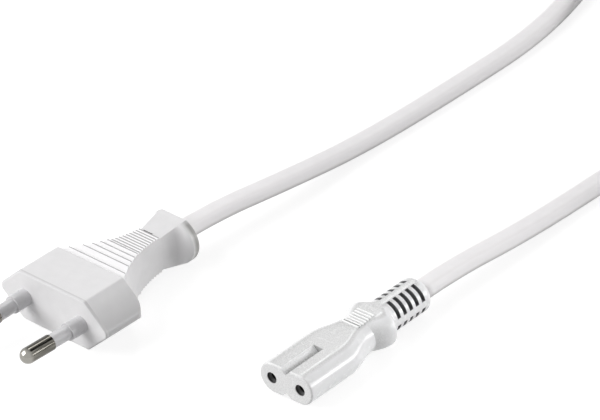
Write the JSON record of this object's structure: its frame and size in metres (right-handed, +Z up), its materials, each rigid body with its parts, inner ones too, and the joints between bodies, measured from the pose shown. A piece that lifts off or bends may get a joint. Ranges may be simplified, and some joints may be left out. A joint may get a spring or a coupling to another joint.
{
  "type": "figure eight power connector",
  "caption": "White mains lead: figure eight connector with slotted strain relief, flat cord and a flat round-pin plug, spare length in a tied coil.",
  "frame": {"origin": "bottom centre of the connector, cord and plug left out", "axes": "-Y out of the sockets' mouths, +Y along the connector to the cord's exit, +Z up"},
  "size_m": [0.0951, 0.2975, 0.0137],
  "materials": {
    "soft_plastic": "smooth moulded",
    "carrier": "moulded",
    "brass": "formed sheet",
    "nickel": "nickel plated",
    "sleeve": "smooth",
    "copper": "stranded",
    "core": "extruded",
    "cord_sheath": "extruded",
    "tie": "moulded band"
  },
  "bodies": {
    "root": {"connector_housing": "soft_plastic", "connector_insert": "carrier", "contact_left": "brass", "contact_right": "brass", "connector_conductor_left": "copper", "connector_conductor_right": "copper", "connector_core_left": "core", "connector_core_right": "core", "cord_end_in_connector": "cord_sheath", "plug_housing": "soft_plastic", "plug_bridge": "carrier", "pin_left": "nickel", "pin_right": "nickel", "pin_sleeve_left": "sleeve", "pin_sleeve_right": "sleeve", "plug_conductor_left": "copper", "plug_conductor_right": "copper", "plug_core_left": "core", "plug_core_right": "core", "cord_end_in_plug": "cord_sheath", "cord_from_connector": "cord_sheath", "cord_to_plug": "cord_sheath", "cord_coil": "cord_sheath", "cord_tie": "tie"}
  },
  "joints": []
}
